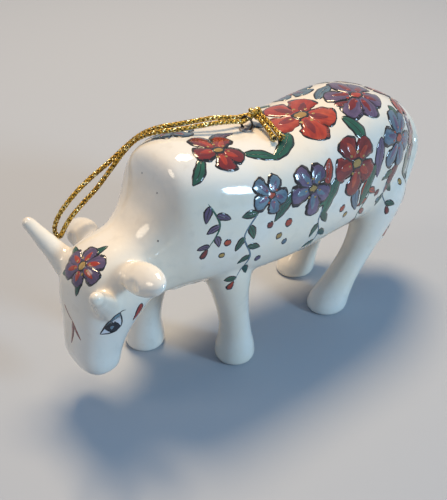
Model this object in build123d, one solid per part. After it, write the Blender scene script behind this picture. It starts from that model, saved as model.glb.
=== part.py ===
from build123d import *
import math
import os

# Grazing cow ornament in glazed earthenware, with a wire eye in its back and a cord hanging loop.
# The frame has +X to the head, +Y to the cow's left and +Z up. The origin is on the floor under the middle.

# Driving sizes of the cow, in millimetres.
body_length = 81.0
back_height = 46.0
barrel_width = 25.6
cast_wall = 2.4
vent_bore = 3.0
head_length = 25.5
head_depth = 10.2
head_width = 14.4

# Legs: distance between left and right foot centres, foot and ankle sizes, and height of the castings.
leg_track = 13.6
front_foot = 7.7
front_ankle = 5.9
front_leg_height = 28.0
rear_foot = 8.6
rear_ankle = 6.9
rear_leg_height = 28.0

# Horns, ears and tail.
horn_root = 5.0
horn_tip = 2.1
horn_spread = 26.8
ear_spread = 29.4
ear_width = 5.4
ear_thickness = 3.4
ear_hollow = 0.35
ear_scoop = 2.0
tail_width = 2.8
tail_thickness = 1.7
tail_stand = 0.15
tail_full_share = 0.70

# Wire eye and its seat in the back.
eye_outer = 2.8
eye_wire = 0.4
eye_lift = 1.05
eye_shank = 2.6
eye_yaw = 12.0
seat_bore = 2.2
seat_fill = 1.9
seat_crown = 0.12

# Cord, knot and frayed ends.
cord_diameter = 0.84
knot_length = 3.1
knot_width = 2.5
knot_reach = 3.6
knot_rise = 0.1
knuckle_gap = 0.18

# How far cutting tools run past what they cut.
overrun = 4.0

# Sections of the body from rump to neck, each by its highest and its lowest point on the middle plane.
# Columns: top along, top up, bottom along, bottom up, half width.
# Shares are of body_length for along, of back_height for up and of barrel_width for the half width.
body_shares = [
    (-0.500, 0.650, -0.500, 0.534, 0.078),
    (-0.490, 0.716, -0.488, 0.468, 0.140),
    (-0.462, 0.788, -0.457, 0.418, 0.214),
    (-0.413, 0.868, -0.408, 0.388, 0.304),
    (-0.341, 0.940, -0.341, 0.375, 0.393),
    (-0.242, 0.982, -0.248, 0.383, 0.448),
    (-0.131, 0.957, -0.143, 0.383, 0.480),
    (-0.032, 0.939, -0.038, 0.380, 0.500),
    (0.067, 0.937, 0.054, 0.382, 0.500),
    (0.153, 0.954, 0.141, 0.396, 0.484),
    (0.228, 0.967, 0.212, 0.415, 0.438),
    (0.278, 0.938, 0.264, 0.423, 0.387),
    (0.298, 0.861, 0.296, 0.424, 0.343),
    (0.321, 0.772, 0.321, 0.422, 0.306),
    (0.362, 0.702, 0.341, 0.413, 0.277),
]
head_along_share = 0.390
head_up_share = 0.730

# Sections of the head from the neck seam to the muzzle, each by a point of the face and one of the jaw.
# Columns: face forward, face down, jaw forward, jaw down, half width.
# Shares are of head_depth forward from the head's datum, of head_length down from it and of head_width.
head_shares = [
    (0.190, 0.100, -0.323, 0.607, 0.500),
    (0.535, 0.164, -0.234, 0.646, 0.500),
    (0.748, 0.292, -0.156, 0.693, 0.476),
    (0.830, 0.458, -0.078, 0.748, 0.438),
    (0.838, 0.628, -0.010, 0.807, 0.404),
    (0.858, 0.775, 0.040, 0.866, 0.382),
    (0.862, 0.874, 0.080, 0.917, 0.380),
    (0.806, 0.955, 0.138, 0.965, 0.350),
    (0.690, 1.003, 0.266, 1.005, 0.248),
    (0.600, 1.015, 0.354, 1.017, 0.144),
]

# Squareness of the sections, 2 is an ellipse, and how many points give each outline.
back_squareness = 2.6
belly_squareness = 2.35
outline_points = 8
rows_between = 1
first_hollow = 2
last_hollow = 3

# Leg castings: share of the height, of the lean, of the foot's radius along, and of it across.
front_leg_shares = [
    (0.000, 0.00, 0.88, 0.88),
    (0.014, 0.00, 0.97, 0.97),
    (0.045, 0.00, 1.00, 1.00),
    (0.110, 0.00, 0.95, 0.95),
    (0.200, 0.04, 0.83, 0.83),
    (0.320, 0.18, 0.77, 0.77),
    (0.450, 0.42, 0.81, 0.80),
    (0.580, 0.68, 0.93, 0.89),
    (0.690, 0.85, 1.10, 0.99),
    (0.800, 0.95, 1.20, 1.03),
    (0.910, 1.00, 1.12, 0.93),
    (1.000, 1.00, 0.80, 0.66),
]
rear_leg_shares = [
    (0.000, 0.00, 0.92, 0.82),
    (0.014, 0.00, 1.02, 0.90),
    (0.045, 0.02, 1.05, 0.93),
    (0.105, 0.08, 1.01, 0.89),
    (0.195, 0.24, 0.90, 0.78),
    (0.305, 0.44, 0.86, 0.73),
    (0.430, 0.65, 0.92, 0.76),
    (0.555, 0.80, 1.10, 0.86),
    (0.680, 0.90, 1.32, 0.99),
    (0.820, 0.97, 1.42, 1.06),
    (0.930, 1.00, 1.25, 0.93),
    (1.000, 1.00, 0.85, 0.62),
]

# Feet and lean of each leg as shares of body_length, with the side of the cow.
leg_stance_shares = {
    "leg_front_left": (0.124, 0.032, 1),
    "leg_front_right": (0.268, -0.056, -1),
    "leg_rear_left": (-0.188, -0.150, 1),
    "leg_rear_right": (-0.233, -0.105, -1),
}

# Horn about its own axis from root to tip: share of its length and of the root's radius.
# Root and tip: shares of head_depth forward, of head_length down, and of half head_width or horn_spread.
horn_profile_shares = [(0.00, 1.00), (0.20, 0.82), (0.42, 0.68), (0.64, 0.56), (0.82, 0.47)]
horn_root_shares = {"horn_left": (0.391, 0.411, 0.722), "horn_right": (0.491, 0.313, 0.750)}
horn_tip_shares = {"horn_left": (0.864, 0.122, 0.791), "horn_right": (0.803, 0.078, 1.000)}
horn_dome_turn = 50.0

# Ear lobes by their root and tip at the head, with the tilt of the broad side.
ear_root_shares = {"ear_left": (0.06, 0.20, 0.34), "ear_right": (-0.02, 0.22, 0.34)}
ear_tip_shares = {"ear_left": (-0.04, 0.125), "ear_right": (-0.05, 0.275)}
ear_tilt = 38.0
ear_hollow_shares = (0.50, 0.62, 0.62)
ear_steps = 12
ear_first_turn = 35.0
ear_last_turn = 172.0

# Tail down the rump to the left thigh, found from inside: where each line of sight starts and how it turns.
# Columns: shares of body_length, barrel_width and back_height, turn in degrees, shares of width and stand.
tail_shares = [
    (-0.360, 0.000, 0.850, 180, 0.70, -4.0),
    (-0.360, 0.000, 0.810, 176, 0.92, 0.60),
    (-0.360, 0.000, 0.735, 168, 1.00, 1.00),
    (-0.360, 0.000, 0.650, 159, 1.00, 1.00),
    (-0.360, 0.000, 0.560, 151, 0.96, 1.00),
    (-0.350, 0.080, 0.480, 149, 0.92, 1.00),
    (-0.330, 0.180, 0.405, 155, 0.88, 1.00),
    (-0.310, 0.250, 0.340, 160, 0.84, 1.00),
    (-0.295, 0.265, 0.285, 160, 0.72, 0.80),
    (-0.285, 0.265, 0.255, 160, 0.40, -1.50),
]

# Where the wire eye stands and where the vent lies under the belly, as shares of body_length.
eye_along_share = 0.046
vent_along_share = -0.06

# The loop's route from the eye over the withers to the right horn and back, points chosen by hand.
loop_route = [
    (4.60, 0.00, 44.60),
    (7.90, -0.65, 45.25),
    (12.20, -1.65, 45.30),
    (16.40, -2.55, 45.30),
    (19.40, -4.10, 45.20),
    (21.20, -6.90, 43.60),
    (22.40, -8.95, 41.00),
    (25.30, -9.35, 37.85),
    (28.30, -9.35, 35.05),
    (30.60, -9.35, 33.60),
    (33.50, -9.55, 31.20),
    (34.80, -9.80, 29.20),
    (35.15, -10.20, 27.95),
    (35.25, -10.95, 27.45),
    (35.40, -11.70, 27.75),
    (35.40, -12.00, 28.75),
    (34.55, -11.55, 31.25),
    (31.90, -10.95, 34.30),
    (28.70, -10.55, 36.75),
    (25.00, -10.50, 38.50),
    (21.60, -10.25, 40.75),
    (19.60, -8.40, 43.25),
    (17.90, -5.75, 45.00),
    (15.20, -4.20, 45.35),
    (11.80, -3.10, 45.55),
    (8.10, -2.35, 45.50),
    (4.60, -2.00, 44.60),
]
tail_a_route = [
    (1.05, -1.20, 44.65),
    (1.40, 0.80, 44.45),
    (1.75, 2.60, 44.05),
    (2.15, 4.30, 43.65),
    (2.60, 5.90, 43.15),
]
tail_b_route = [
    (0.10, -1.20, 44.65),
    (0.35, 0.90, 44.45),
    (0.65, 2.80, 44.05),
    (1.00, 4.60, 43.60),
    (1.20, 6.30, 43.05),
]
arc_share = 0.45


def section_face(top, bottom, half_width, top_power, bottom_power):
    """Left half of a smooth section between its highest and lowest point, closed along the middle plane."""
    centre = (top + bottom) / 2
    up = (top - bottom) / 2
    points = [top]
    for step in range(1, outline_points):
        turn = math.pi * step / outline_points
        power = top_power if step * 2 < outline_points else bottom_power
        across = half_width * math.sin(turn) ** (2 / power)
        upward = up * math.copysign(abs(math.cos(turn)) ** (2 / power), math.cos(turn))
        points.append(centre + Vector(0, across, 0) + upward)
    points.append(bottom)
    outward = Vector(0, 1, 0)
    skin = Spline(*points, tangents=(outward, -outward))
    return Face(Wire([skin, Line(bottom, top)]))


def between(rows):
    """The rows of a table with more rows in between on one smooth curve."""
    last = len(rows) - 1
    dense = []
    for index in range(last):
        four = (rows[max(index - 1, 0)], rows[index], rows[index + 1], rows[min(index + 2, last)])
        for step in range(rows_between + 1):
            t = step / (rows_between + 1)
            row = []
            for a, b, c, d in zip(*four):
                rise = (c - a) * t
                bend = (2 * a - 5 * b + 4 * c - d) * t**2
                twist = (3 * b - a - 3 * c + d) * t**3
                row.append(b + (rise + bend + twist) / 2)
            dense.append(tuple(row))
    return dense + [rows[-1]]


def body_sections():
    """Top point, bottom point and half width of each section of body and head."""
    rows = []
    sizes = (body_length, back_height, body_length, back_height, barrel_width)
    for shares in body_shares:
        rows.append(tuple(share * size for share, size in zip(shares, sizes)))
    for face_x, face_z, jaw_x, jaw_z, half in head_shares:
        face = head_point(face_x, face_z, 0)
        jaw = head_point(jaw_x, jaw_z, 0)
        rows.append((face.X, face.Z, jaw.X, jaw.Z, half * head_width))
    return rows


def body_solid(rows, inset):
    """Smooth solid through the rows, drawn in by a wall."""
    faces = []
    for top_x, top_z, bottom_x, bottom_z, half in between(rows):
        top = Vector(top_x, 0, top_z)
        bottom = Vector(bottom_x, 0, bottom_z)
        inward = (bottom - top).normalized() * inset
        face = section_face(top + inward, bottom - inward, half - inset, back_squareness, belly_squareness)
        faces.append(face)
    left_half = Solid(loft(faces).wrapped)
    return left_half + mirror(left_half, about=Plane.XZ)


def ellipse_face(centre, along, across, along_radius, across_radius):
    """Flat ellipse face about a centre, with its two radii along two given directions."""
    normal = Vector(*along).cross(Vector(*across))
    plane = Plane(origin=centre, x_dir=along, z_dir=normal)
    return plane * Ellipse(along_radius, across_radius)


def leg_solid(name):
    """Leg with its shoulder or thigh, an upright loft that swells up into the body."""
    foot_x, lean, side = leg_stance_shares[name]
    front = "front" in name
    shares = front_leg_shares if front else rear_leg_shares
    foot = front_foot if front else rear_foot
    ankle = front_ankle if front else rear_ankle
    height = front_leg_height if front else rear_leg_height
    waist = min(along for _, _, along, _ in shares)
    slim = ankle / (foot * waist)
    faces = []
    for up, leaning, along, across in between(shares):
        ease = 1 + (slim - 1) * math.sin(math.pi * min(up, 1))
        along_x = (foot_x + leaning * lean) * body_length
        centre = Vector(along_x, side * leg_track / 2, up * height)
        radius = foot / 2 * ease
        faces.append(ellipse_face(centre, (1, 0, 0), (0, 1, 0), along * radius, across * radius))
    return Solid(loft(faces).wrapped)


def head_point(forward, down, half_spread):
    """Point of the head by shares of its depth and length from its datum, at a distance off the middle."""
    datum_x = head_along_share * body_length
    datum_z = head_up_share * back_height
    return Vector(datum_x + forward * head_depth, half_spread, datum_z - down * head_length)


def horn_solid(name):
    """Round tapered horn, turned about its axis."""
    side = 1 if name == "horn_left" else -1
    forward, down, out = horn_root_shares[name]
    root = head_point(forward, down, side * out * head_width / 2)
    forward, down, out = horn_tip_shares[name]
    tip = head_point(forward, down, side * out * horn_spread / 2)
    way = tip - root
    dome = math.radians(horn_dome_turn)
    tip_radius = horn_tip / 2
    points = []
    for share, radius in horn_profile_shares:
        points.append(Vector(radius * horn_root / 2, 0, share * way.length))
    points.append(Vector(tip_radius * math.sin(dome), 0, way.length - tip_radius * (1 - math.cos(dome))))
    points.append(Vector(0, 0, way.length))
    side_line = Spline(*points, tangents=((points[1] - points[0]).normalized(), Vector(-1, 0, 0)))
    outline = Wire([Line(Vector(0, 0, 0), points[0]), side_line, Line(points[-1], Vector(0, 0, 0))])
    horn = revolve(Face(outline), axis=Axis.Z)
    return Solid((Plane(origin=root, z_dir=way) * horn).solids()[0].wrapped)


def ear_solid(name):
    """Lobe of an ear with a shallow hollow."""
    side = 1 if name == "ear_left" else -1
    forward, down, half = ear_root_shares[name]
    root = head_point(forward, down, side * half * head_width)
    tip_forward, tip_down = ear_tip_shares[name]
    tip = head_point(tip_forward, tip_down, side * ear_spread / 2)
    way = tip - root
    tilt = math.radians(ear_tilt)
    broad = Vector(math.cos(tilt), 0, -math.sin(tilt))
    broad = (broad - way * (broad.dot(way) / way.dot(way))).normalized()
    thick = way.cross(broad).normalized() * side
    faces = []
    for step in range(ear_steps + 1):
        turn = math.radians(ear_first_turn + (ear_last_turn - ear_first_turn) * step / ear_steps)
        centre = root + way * (1 - math.cos(turn)) / 2
        fullness = math.sin(turn)
        half_width = fullness * ear_width / 2
        faces.append(ellipse_face(centre, broad, thick, half_width, fullness * ear_thickness / 2))
    lobe = Solid(loft(faces).wrapped)
    place, down, out = ear_hollow_shares
    out_way = broad * down - thick * out
    middle = root + way * place + broad * down * ear_width / 2 - thick * out * ear_thickness / 2
    scoop = Pos(middle + out_way.normalized() * (ear_scoop - ear_hollow)) * Sphere(ear_scoop)
    return lobe - scoop


def outermost(solids, start, turn):
    """Farthest point of some solids on a level line from a start at a turn about the upright."""
    way = Vector(math.cos(math.radians(turn)), math.sin(math.radians(turn)), 0)
    reach = 0
    for solid in solids:
        for face in solid.faces():
            for point, _ in face.find_intersection_points(Axis(start, way)):
                reach = max(reach, (point - start).dot(way))
    return start + way * reach, way


def tail_solid(solids):
    """Flat tail lying against the rump and the thigh."""
    rows = []
    for along, across, up, turn, width, stand in tail_shares:
        start = Vector(along * body_length, across * barrel_width, up * back_height)
        point, way = outermost(solids, start, turn)
        point = point + way * tail_stand * stand
        rows.append((point.X, point.Y, point.Z, way.X, way.Y, width * tail_width / 2))
    rows = between(rows)
    faces = []
    for index, (x, y, z, outward_x, outward_y, half_width) in enumerate(rows):
        before = Vector(*rows[max(index - 1, 0)][:3])
        after = Vector(*rows[min(index + 1, len(rows) - 1)][:3])
        way = (after - before).normalized()
        outward = Vector(outward_x, outward_y, 0)
        outward = (outward - way * outward.dot(way)).normalized()
        across = way.cross(outward).normalized()
        thickness = tail_thickness / 2 * min(1, half_width * 2 / tail_width / tail_full_share)
        faces.append(ellipse_face(Vector(x, y, z), across, outward, half_width, thickness))
    return Solid(loft(faces).wrapped)


def surface_height(solid, x, y):
    """Highest point of a solid above a place."""
    heights = []
    for face in solid.faces():
        for point, _ in face.find_intersection_points(Axis((x, y, 0), (0, 0, 1))):
            heights.append(point.Z)
    return max(heights)


def corner_radii(route):
    """Arc radius at each inner point, as large as its two runs allow."""
    radii = []
    for before, point, after in zip(route, route[1:], route[2:]):
        first = Vector(*point) - Vector(*before)
        second = Vector(*after) - Vector(*point)
        half_turn = math.radians(first.get_angle(second)) / 2
        radii.append(arc_share * min(first.length, second.length) / math.tan(half_turn))
    return radii


def cord_path(route):
    """Straight runs along a route with an arc at each inner point."""
    return FilletPolyline(*[Vector(*point) for point in route], radius=corner_radii(route))


def cord_tube(path, radius):
    """Round tube along a path."""
    start = Plane(origin=path @ 0, z_dir=path % 0)
    return Solid(sweep(start * Circle(radius), path=path).wrapped)


def cord_knuckle(point, way, radius):
    """Half ball that rounds a strand's end where it turns."""
    return Plane(origin=point, z_dir=way) * Sphere(radius, arc_size1=0)


# Torso and head are one hollow outline, parted in a plane at the neck seam.
outline_rows = body_sections()
outer = body_solid(outline_rows, 0)
inner = body_solid(outline_rows[first_hollow:-last_hollow], cast_wall)
seam_row = outline_rows[len(body_shares) - 1]
seam_top = Vector(seam_row[0], 0, seam_row[1])
seam_bottom = Vector(seam_row[2], 0, seam_row[3])
seam_normal = Vector(0, 1, 0).cross(seam_top - seam_bottom)
seam_plane = Plane(origin=(seam_top + seam_bottom) / 2, x_dir=(0, 1, 0), z_dir=seam_normal)
upward = (Align.CENTER, Align.CENTER, Align.MIN)
downward = (Align.CENTER, Align.CENTER, Align.MAX)
front_side = seam_plane * Box(body_length, body_length, body_length, align=upward)
shell = outer - inner

# The eye's place on the back, its seat bore and the vent under the belly.
eye_x = eye_along_share * body_length
back_z = surface_height(outer, eye_x, 0)
seat = Pos(eye_x, 0, back_z) * Cylinder(seat_bore / 2, cast_wall * 2 + overrun)
vent = Pos(vent_along_share * body_length, 0, 0) * Cylinder(vent_bore / 2, back_height / 2, align=upward)

nodes = {}
nodes["torso"] = shell - front_side - seat - vent
nodes["head"] = shell & front_side

for leg_name in leg_stance_shares:
    nodes[leg_name] = leg_solid(leg_name) - outer
for horn_name in horn_root_shares:
    nodes[horn_name] = horn_solid(horn_name) - outer
for ear_name in ear_root_shares:
    nodes[ear_name] = ear_solid(ear_name) - outer
thigh = leg_solid("leg_rear_left")
nodes["tail"] = tail_solid([outer, thigh]) - outer - thigh

# Wire eye: a ring with a straight shank, set in a plug of cement.
ring_radius = (eye_outer - eye_wire) / 2
ring_z = back_z + eye_lift
ring_way = Vector(1, 0, 0).rotate(Axis.Z, eye_yaw)
ring_plane = Plane(origin=(eye_x, 0, ring_z), z_dir=ring_way)
ring = ring_plane * Torus(ring_radius, eye_wire / 2)
shank = Pos(eye_x, 0, ring_z - ring_radius) * Cylinder(eye_wire / 2, eye_shank, align=downward)
nodes["hanger_eye"] = ring + shank
plug = Pos(eye_x, 0, back_z + seat_crown) * Cylinder(seat_bore / 2, seat_crown + seat_fill, align=downward)
nodes["eye_cement"] = plug - nodes["hanger_eye"]

# Cord: the loop turns about the line where both strands leave the eye, and the rest stays by the eye.
cord_radius = cord_diameter / 2
loop_path = cord_path(loop_route)
loop_tube = cord_tube(loop_path, cord_radius)
full_volume = loop_path.length * math.pi * cord_radius**2
print("loop radii", [round(radius, 2) for radius in corner_radii(loop_route)])
print("loop length", round(loop_path.length, 1), "mm")
print("loop volume share", round(loop_tube.volume / full_volume, 4))
first_knuckle = cord_knuckle(loop_path @ 0, loop_path % 0 * -1, cord_radius)
last_knuckle = cord_knuckle(loop_path @ 1, loop_path % 1, cord_radius)
nodes["cord_loop"] = loop_tube + first_knuckle + last_knuckle

# Knot behind the eye, an egg-shaped solid midway between the two strands.
first_strand = Vector(*loop_route[0])
last_strand = Vector(*loop_route[-1])
knot_y = (first_strand.Y + last_strand.Y) / 2 - cord_radius / 2
knot_centre = Vector(first_strand.X - knot_reach, knot_y, first_strand.Z + knot_rise)
knot_half_sizes = (knot_length / 2, knot_width / 2, knot_width / 2)
nodes["cord_knot"] = Pos(knot_centre) * scale(Sphere(1), by=knot_half_sizes)

for pass_name, start in (("cord_pass_eye", first_strand), ("cord_pass_side", last_strand)):
    way = knot_centre - start
    setback = cord_radius + knuckle_gap
    pass_plane = Plane(origin=start + way.normalized() * setback, z_dir=way)
    rod = pass_plane * Cylinder(cord_radius, way.length - setback, align=upward)
    nodes[pass_name] = rod - nodes["cord_knot"]

for tail_name, route in (("cord_end_a", tail_a_route), ("cord_end_b", tail_b_route)):
    nodes[tail_name] = cord_tube(cord_path(route), cord_radius) - nodes["cord_knot"]

os.makedirs("parts", exist_ok=True)
for name, shape in nodes.items():
    shape.label = name
    export_step(shape, f"parts/{name}.step")
    box = shape.bounding_box()
    print(name, len(shape.solids()), "solid", round(shape.volume, 2), "mm3", box.min, box.max)

ceramic = [shape for name, shape in nodes.items() if not name.startswith("cord_")]
low_x = min(shape.bounding_box().min.X for shape in ceramic)
high_x = max(shape.bounding_box().max.X for shape in ceramic)
low_y = min(shape.bounding_box().min.Y for shape in ceramic)
high_y = max(shape.bounding_box().max.Y for shape in ceramic)
print("box middle", round((low_x + high_x) / 2, 3), round((low_y + high_y) / 2, 3))
print("back at the eye", round(back_z, 3), "ring centre", round(ring_z, 3))
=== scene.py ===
import math

import bmesh
import bpy
import numpy as np
from mathutils import Matrix, Vector
from mathutils.bvhtree import BVHTree


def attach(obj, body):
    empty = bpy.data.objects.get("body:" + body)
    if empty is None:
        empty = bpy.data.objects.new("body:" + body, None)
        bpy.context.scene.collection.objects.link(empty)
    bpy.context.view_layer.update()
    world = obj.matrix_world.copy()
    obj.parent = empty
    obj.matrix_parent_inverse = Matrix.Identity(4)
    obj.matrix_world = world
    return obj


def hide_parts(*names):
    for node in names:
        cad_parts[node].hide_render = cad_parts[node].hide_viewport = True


# Grazing cow ornament: glazed and painted earthenware on a braided gold cord.
mm = 0.001

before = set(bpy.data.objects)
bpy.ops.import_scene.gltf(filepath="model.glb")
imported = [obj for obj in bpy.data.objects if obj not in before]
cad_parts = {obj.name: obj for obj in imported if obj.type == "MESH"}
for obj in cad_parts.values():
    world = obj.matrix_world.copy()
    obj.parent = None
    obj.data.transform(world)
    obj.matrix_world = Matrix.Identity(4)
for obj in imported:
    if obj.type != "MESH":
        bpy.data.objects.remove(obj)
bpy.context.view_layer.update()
print("frame loaded")


def newPiece(name, mesh, body):
    piece = bpy.data.objects.new(name, mesh)
    bpy.context.scene.collection.objects.link(piece)
    mesh.polygons.foreach_set("use_smooth", [True] * len(mesh.polygons))
    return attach(piece, body)


def meshArrays(mesh):
    points = np.zeros(len(mesh.vertices) * 3)
    mesh.vertices.foreach_get("co", points)
    edges = np.zeros(len(mesh.edges) * 2, int)
    mesh.edges.foreach_get("vertices", edges)
    return points.reshape(-1, 3), edges.reshape(-1, 2)


# The photograph's camera, an 81 mm cow seen from its left front and above.
cameraView = {
    "eye": (76.38 * mm, 82.93 * mm, 93.58 * mm),
    "back": (0.5245, 0.6357, 0.5664),
    "roll": math.radians(1.773),
    "lens": 50.4,
    "sensor": 36.0,
    "clip": (5 * mm, 10.0),
}


def makeCamera(look):
    back = Vector(look["back"]).normalized()
    level = Vector((0, 0, 1)).cross(back).normalized()
    rise = back.cross(level)
    right = level * math.cos(look["roll"]) + rise * math.sin(look["roll"])
    up = rise * math.cos(look["roll"]) - level * math.sin(look["roll"])
    camera = bpy.data.objects.new("camera", bpy.data.cameras.new("camera"))
    bpy.context.scene.collection.objects.link(camera)
    camera.data.sensor_width = look["sensor"]
    camera.data.lens = look["lens"]
    camera.data.clip_start, camera.data.clip_end = look["clip"]
    turned = Matrix((right, up, back)).transposed()
    camera.matrix_world = Matrix.Translation(look["eye"]) @ turned.to_4x4()
    bpy.context.scene.camera = camera


makeCamera(cameraView)
print("camera placed")


# Node groups and materials.
def addSocket(group, name, way, value=None):
    socket = group.interface.new_socket(name=name, in_out=way, socket_type="NodeSocketFloat")
    if value is not None:
        socket.default_value = value


def addNode(tree, kind, **settings):
    node = tree.nodes.new(kind)
    for key, value in settings.items():
        if key in node.inputs:
            node.inputs[key].default_value = value
        else:
            setattr(node, key, value)
    return node


def mathNode(tree, operation, first, second):
    node = addNode(tree, "ShaderNodeMath", operation=operation)
    for index, value in enumerate((first, second)):
        if isinstance(value, float):
            node.inputs[index].default_value = value
        else:
            tree.links.new(value, node.inputs[index])
    return node.outputs[0]


def mixColours(tree, share, first, second):
    node = addNode(tree, "ShaderNodeMix", data_type="RGBA")
    colourSockets = node.inputs[6], node.inputs[7]  # the RGBA pair of a Mix node
    for socket, value in zip((node.inputs[0], *colourSockets), (share, first, second)):
        if isinstance(value, bpy.types.NodeSocket):
            tree.links.new(value, socket)
        else:
            socket.default_value = value if isinstance(value, float) else (*value, 1.0)
    return node.outputs[2]


# A noise with soft edges, which each material places with its own values.
softNoiseLook = {
    "inputs": {"Scale": 200.0, "From": 0.4, "To": 0.6},
    "detail": 4.0,
}


def softNoiseGroup(look):
    group = bpy.data.node_groups.new("softNoise", "ShaderNodeTree")
    for name, value in look["inputs"].items():
        addSocket(group, name, "INPUT", value)
    addSocket(group, "Mask", "OUTPUT")
    given = addNode(group, "NodeGroupInput")
    result = addNode(group, "NodeGroupOutput")
    place = addNode(group, "ShaderNodeTexCoord")
    noise = addNode(group, "ShaderNodeTexNoise", Detail=look["detail"])
    spread = addNode(group, "ShaderNodeMapRange", interpolation_type="SMOOTHSTEP")
    group.links.new(place.outputs["Object"], noise.inputs["Vector"])
    group.links.new(given.outputs["Scale"], noise.inputs["Scale"])
    group.links.new(noise.outputs[0], spread.inputs["Value"])
    group.links.new(given.outputs["From"], spread.inputs["From Min"])
    group.links.new(given.outputs["To"], spread.inputs["From Max"])
    group.links.new(spread.outputs["Result"], result.inputs["Mask"])
    return group


softNoise = softNoiseGroup(softNoiseLook)


def noiseMask(tree, scale, low, high):
    node = addNode(tree, "ShaderNodeGroup", node_tree=softNoise)
    node.inputs["Scale"].default_value = scale
    node.inputs["From"].default_value = low
    node.inputs["To"].default_value = high
    return node.outputs["Mask"]


def startMaterial(name, metallic, roughness=0.5):
    material = bpy.data.materials.new(name)
    material.use_nodes = True
    tree = material.node_tree
    shader = tree.nodes["Principled BSDF"]
    shader.inputs["Metallic"].default_value = metallic
    shader.inputs["Roughness"].default_value = roughness
    return material, tree, shader


def addBump(tree, shader, height, depth, strength=1.0):
    bump = addNode(tree, "ShaderNodeBump", Strength=strength, Distance=depth)
    tree.links.new(height, bump.inputs["Height"])
    tree.links.new(bump.outputs["Normal"], shader.inputs["Normal"])


def addCoat(shader, look):
    shader.inputs["Coat Weight"].default_value = look["coat"]
    shader.inputs["Coat Roughness"].default_value = look["coatRoughness"]


# Noise values in every look are scale, from and to.
glazeLook = {
    "cream": (0.83, 0.72, 0.575),
    "milk": (0.80, 0.745, 0.66),
    "pooled": (0.60, 0.52, 0.42),
    "clouds": (60.0, 0.35, 0.65),
    "pools": (420.0, 0.55, 0.75),
    "poolShare": 0.25,
    "waves": (110.0, 0.2, 0.8),
    "waveDepth": 0.10 * mm,
    "roughness": 0.10,
    "ior": 1.5,
    "coat": 0.6,
    "coatRoughness": 0.03,
}


def glazeMaterial(look):
    material, tree, shader = startMaterial("warmWhiteGlaze", 0.0, look["roughness"])
    clouds = noiseMask(tree, *look["clouds"])
    pools = mathNode(tree, "MULTIPLY", noiseMask(tree, *look["pools"]), look["poolShare"])
    body = mixColours(tree, clouds, look["cream"], look["milk"])
    tree.links.new(mixColours(tree, pools, body, look["pooled"]), shader.inputs["Base Color"])
    shader.inputs["IOR"].default_value = look["ior"]
    addCoat(shader, look)
    addBump(tree, shader, noiseMask(tree, *look["waves"]), look["waveDepth"])
    return material


glaze = glazeMaterial(glazeLook)

# The cow's skin: all castings under one glaze, with the soft fillets of luted and slipped seams.
skinLook = {
    "castings": [
        "torso", "head", "leg_front_left", "leg_front_right", "leg_rear_left", "leg_rear_right",
        "horn_left", "horn_right", "ear_left", "ear_right", "tail",
    ],
    "voxel": 0.34 * mm,
    "filletSteps": 46,
    "filletPush": 0.7,
    "normalsEvery": 6,
    "keptCrease": 0.006 * mm,
    "smoothSteps": 22,
    "smoothIn": 0.50,
    "smoothOut": 0.52,
    "ventX": -4.86 * mm,
    "ventZone": 2.3 * mm,
    "ventTop": 24 * mm,
}


def remeshedCastings(look):
    joined = bmesh.new()
    for node in look["castings"]:
        joined.from_mesh(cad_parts[node].data)
    mesh = bpy.data.meshes.new("castings")
    joined.to_mesh(mesh)
    joined.free()
    helper = bpy.data.objects.new("castings", mesh)
    bpy.context.scene.collection.objects.link(helper)
    remesh = helper.modifiers.new("remesh", "REMESH")
    remesh.mode = "VOXEL"
    remesh.voxel_size = look["voxel"]
    graph = bpy.context.evaluated_depsgraph_get()
    result = bpy.data.meshes.new_from_object(helper.evaluated_get(graph))
    bpy.data.objects.remove(helper)
    bpy.data.meshes.remove(mesh)
    result.name = "glazedCow"
    return result


def faceCorners(mesh):
    # a voxel remesh gives four-sided faces only
    loops = np.zeros(len(mesh.loops), int)
    mesh.loops.foreach_get("vertex_index", loops)
    return loops.reshape(-1, 4)


def pointNormals(points, quads):
    across = points[quads[:, 2]] - points[quads[:, 0]]
    along = points[quads[:, 3]] - points[quads[:, 1]]
    facing = np.cross(across, along)
    normals = np.zeros_like(points)
    for axis in range(3):
        for corner in range(4):
            normals[:, axis] += np.bincount(quads[:, corner], facing[:, axis], len(points))
    return normals / np.maximum(np.linalg.norm(normals, axis=1, keepdims=True), 1e-12)


def neighbourPull(points, edges):
    count = np.bincount(edges.ravel(), minlength=len(points))
    total = np.zeros_like(points)
    for axis in range(3):
        total[:, axis] += np.bincount(edges[:, 0], points[edges[:, 1], axis], len(points))
        total[:, axis] += np.bincount(edges[:, 1], points[edges[:, 0], axis], len(points))
    return total / count[:, None] - points


def outerSide(points, edges, look):
    # points reached from the top of the back without passing through the vent in the belly
    nearVent = np.hypot(points[:, 0] - look["ventX"], points[:, 1]) < look["ventZone"]
    closed = nearVent & (points[:, 2] < look["ventTop"])
    reached = np.zeros(len(points), bool)
    reached[np.argmax(points[:, 2])] = True
    passable = ~closed
    links = edges[passable[edges[:, 0]] & passable[edges[:, 1]]]
    while True:
        grown = reached.copy()
        grown[links[reached[links[:, 0]], 1]] = True
        grown[links[reached[links[:, 1]], 0]] = True
        if grown.sum() == reached.sum():
            return reached
        reached = grown


def softenSeams(points, edges, quads, outer, look):
    for step in range(look["filletSteps"]):
        if step % look["normalsEvery"] == 0:
            normals = pointNormals(points, quads)
        outward = (neighbourPull(points, edges) * normals).sum(axis=1)
        push = np.where(outer, np.maximum(outward - look["keptCrease"], 0), 0)
        points = points + normals * (push * look["filletPush"])[:, None]
    for step in range(look["smoothSteps"]):
        points = points + neighbourPull(points, edges) * look["smoothIn"]
        points = points - neighbourPull(points, edges) * look["smoothOut"]
    return points


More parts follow.
